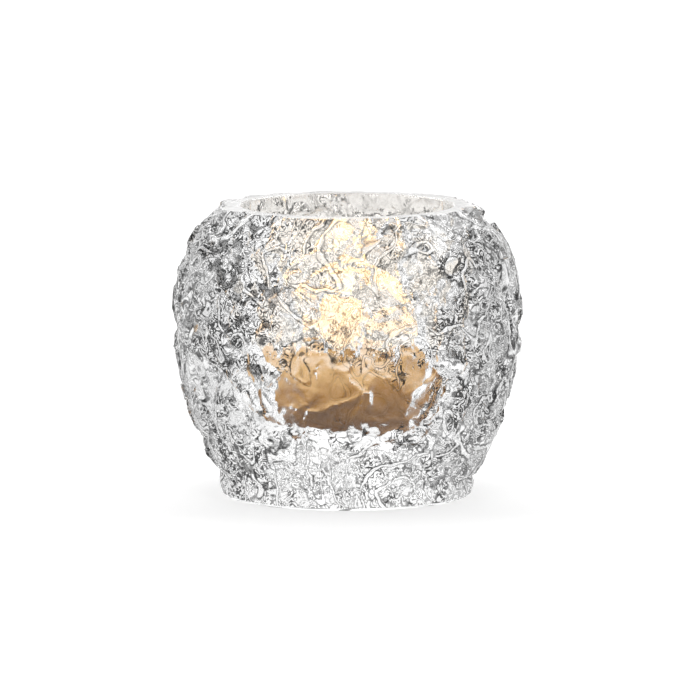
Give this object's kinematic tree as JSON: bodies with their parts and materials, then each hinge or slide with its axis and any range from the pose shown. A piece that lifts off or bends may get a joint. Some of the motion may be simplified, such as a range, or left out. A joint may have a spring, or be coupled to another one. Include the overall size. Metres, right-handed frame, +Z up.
{
  "type": "tealight holder",
  "caption": "Heavy round glass bowl with a rough icy outside and a deep smooth well, holding a tealight in a clear cup.",
  "frame": {"origin": "centre of the bowl's flat foot, on the surface that it stands on", "axes": "+Z is up along the bowl's axis of revolution; the bowl is round, so +X and +Y only set which way the wick's tip curls, which is towards -X"},
  "size_m": [0.085, 0.085, 0.07],
  "materials": {
    "clear_glass": "clear, icy relief outside, polished rim, well and foot",
    "clear_cup": "clear polycarbonate, glossy",
    "wax": "translucent paraffin wax, satin, glossy where it is molten",
    "wick_cotton": "braided cotton, charred at the tip",
    "clip_metal": "tinned sheet steel"
  },
  "bodies": {
    "holder": {"glass_bowl": "clear_glass"},
    "tealight": {"tealight_cup": "clear_cup"},
    "candle": {"wax_slug": "wax", "wick": "wick_cotton", "wick_clip": "clip_metal"}
  },
  "joints": [
    {"name": "tealight_lift", "type": "slide", "parent": "holder", "child": "tealight", "axis": [0, 0, 1], "range_m": [0, 0.06]},
    {"name": "candle_lift", "type": "slide", "parent": "tealight", "child": "candle", "axis": [0, 0, 1], "range_m": [0, 0.025]}
  ]
}
